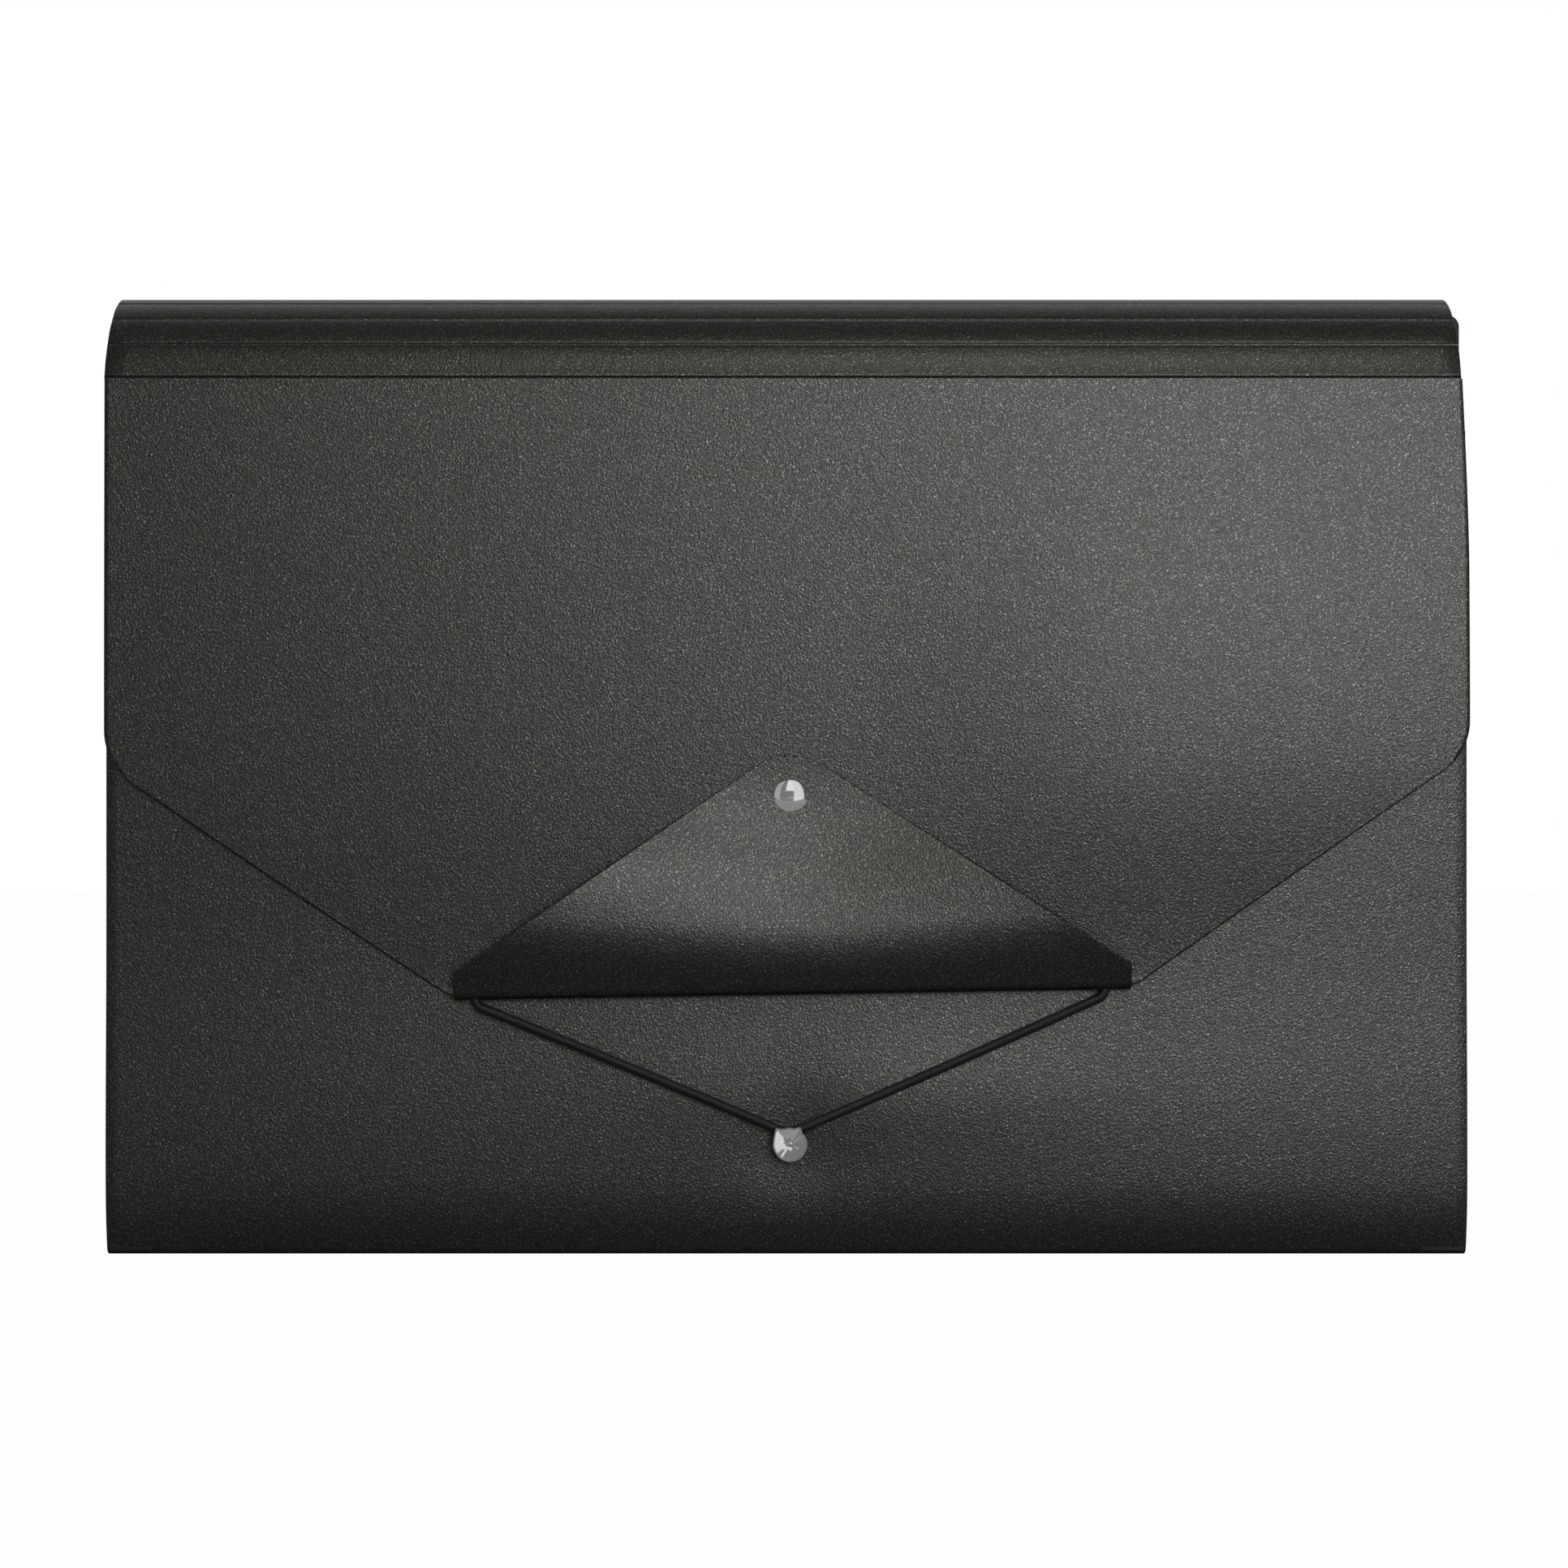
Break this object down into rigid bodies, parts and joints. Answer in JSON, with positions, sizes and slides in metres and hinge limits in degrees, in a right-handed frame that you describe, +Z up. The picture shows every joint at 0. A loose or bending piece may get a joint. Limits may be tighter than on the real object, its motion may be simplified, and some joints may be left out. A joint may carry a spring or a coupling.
{
  "type": "expanding file",
  "caption": "Landscape expanding file with pleated pockets, stepped index tabs and a flap whose folded tip carries an elastic cord looped round a stud.",
  "frame": {"origin": "middle of the underside of the bottom spine, which the file stands on", "axes": "+X across the width to the viewer's right, +Y from the flap towards the back cover, +Z up"},
  "size_m": [0.3333, 0.043, 0.235],
  "materials": {
    "cover": "pearl charcoal with fine sand grain",
    "divider": "satin",
    "film": "satin",
    "label": "uncoated paper",
    "elastic": "braided",
    "nickel": "polished"
  },
  "bodies": {
    "back": {"back_cover": "cover", "bottom_spine": "cover", "gusset_left": "film", "gusset_right": "film", "gusset_bottom": "film"},
    "front": {"front_cover": "cover", "closure_stud": "nickel", "stud_washer": "nickel"},
    "divider_1": {"divider_1": "divider", "tab_label_1": "label"},
    "divider_2": {"divider_2": "divider", "tab_label_2": "label"},
    "divider_3": {"divider_3": "divider", "tab_label_3": "label"},
    "divider_4": {"divider_4": "divider", "tab_label_4": "label"},
    "divider_5": {"divider_5": "divider", "tab_label_5": "label"},
    "divider_6": {"divider_6": "divider", "tab_label_6": "label"},
    "strip_1": {"spine_strip_1": "cover"},
    "strip_2": {"spine_strip_2": "cover"},
    "strip_3": {"spine_strip_3": "cover"},
    "strip_4": {"spine_strip_4": "cover"},
    "strip_5": {"spine_strip_5": "cover"},
    "flap": {"flap": "cover", "tip_rivet": "nickel", "rivet_washer": "nickel", "cord_crimp": "nickel"},
    "elastic": {"elastic_cord": "elastic"}
  },
  "joints": [
    {"name": "spine_lift", "type": "hinge", "parent": "back", "child": "strip_1", "pos_m": [0, 0.01805, 0.23052], "axis": [-1, 0, 0], "range_deg": [0, 90]},
    {"name": "crease_1", "type": "hinge", "parent": "strip_1", "child": "strip_2", "pos_m": [0, 0.00972, 0.2347], "axis": [-1, 0, 0], "range_deg": [0, 39.7]},
    {"name": "crease_2", "type": "hinge", "parent": "strip_2", "child": "strip_3", "pos_m": [0, 0.00064, 0.23261], "axis": [-1, 0, 0], "range_deg": [0, 18]},
    {"name": "crease_3", "type": "hinge", "parent": "strip_3", "child": "strip_4", "pos_m": [0, -0.00734, 0.22781], "axis": [-1, 0, 0], "range_deg": [0, 15]},
    {"name": "crease_4", "type": "hinge", "parent": "strip_4", "child": "strip_5", "pos_m": [0, -0.01382, 0.2211], "axis": [-1, 0, 0], "range_deg": [0, 17]},
    {"name": "flap_lift", "type": "hinge", "parent": "strip_5", "child": "flap", "pos_m": [0, -0.01805, 0.2128], "axis": [-1, 0, 0], "range_deg": [0, 75]},
    {"name": "front_fan", "type": "hinge", "parent": "back", "child": "front", "pos_m": [0, -0.01635, 0.0004], "axis": [1, 0, 0], "range_deg": [0, 12.8], "deforming": ["gusset_left", "gusset_right", "gusset_bottom"]},
    {"name": "divider_fan_1", "type": "hinge", "parent": "back", "child": "divider_1", "pos_m": [0, -0.01635, 0.0004], "axis": [1, 0, 0], "range_deg": [0, 12.1]},
    {"name": "divider_fan_2", "type": "hinge", "parent": "back", "child": "divider_2", "pos_m": [0, -0.01635, 0.0004], "axis": [1, 0, 0], "range_deg": [0, 10.3]},
    {"name": "divider_fan_3", "type": "hinge", "parent": "back", "child": "divider_3", "pos_m": [0, -0.01635, 0.0004], "axis": [1, 0, 0], "range_deg": [0, 7.84]},
    {"name": "divider_fan_4", "type": "hinge", "parent": "back", "child": "divider_4", "pos_m": [0, -0.01635, 0.0004], "axis": [1, 0, 0], "range_deg": [0, 5.16]},
    {"name": "divider_fan_5", "type": "hinge", "parent": "back", "child": "divider_5", "pos_m": [0, -0.01635, 0.0004], "axis": [1, 0, 0], "range_deg": [0, 2.7]},
    {"name": "divider_fan_6", "type": "hinge", "parent": "back", "child": "divider_6", "pos_m": [0, -0.01635, 0.0004], "axis": [1, 0, 0], "range_deg": [0, 0.9]},
    {"name": "elastic_stretch", "type": "slide", "parent": "flap", "child": "elastic", "axis": [0, 0, -1], "range_m": [0, 0.012], "stiffness_N_per_m": 120, "springref_m": -0.006, "deforming": ["elastic_cord"]}
  ],
  "couplings": [
    {"joint": "front_fan", "follows": "spine_lift", "ratio": 0.14},
    {"joint": "divider_fan_1", "follows": "spine_lift", "ratio": 0.13225},
    {"joint": "divider_fan_2", "follows": "spine_lift", "ratio": 0.11224},
    {"joint": "divider_fan_3", "follows": "spine_lift", "ratio": 0.084898},
    {"joint": "divider_fan_4", "follows": "spine_lift", "ratio": 0.055102},
    {"joint": "divider_fan_5", "follows": "spine_lift", "ratio": 0.027755},
    {"joint": "divider_fan_6", "follows": "spine_lift", "ratio": 0.007755}
  ]
}
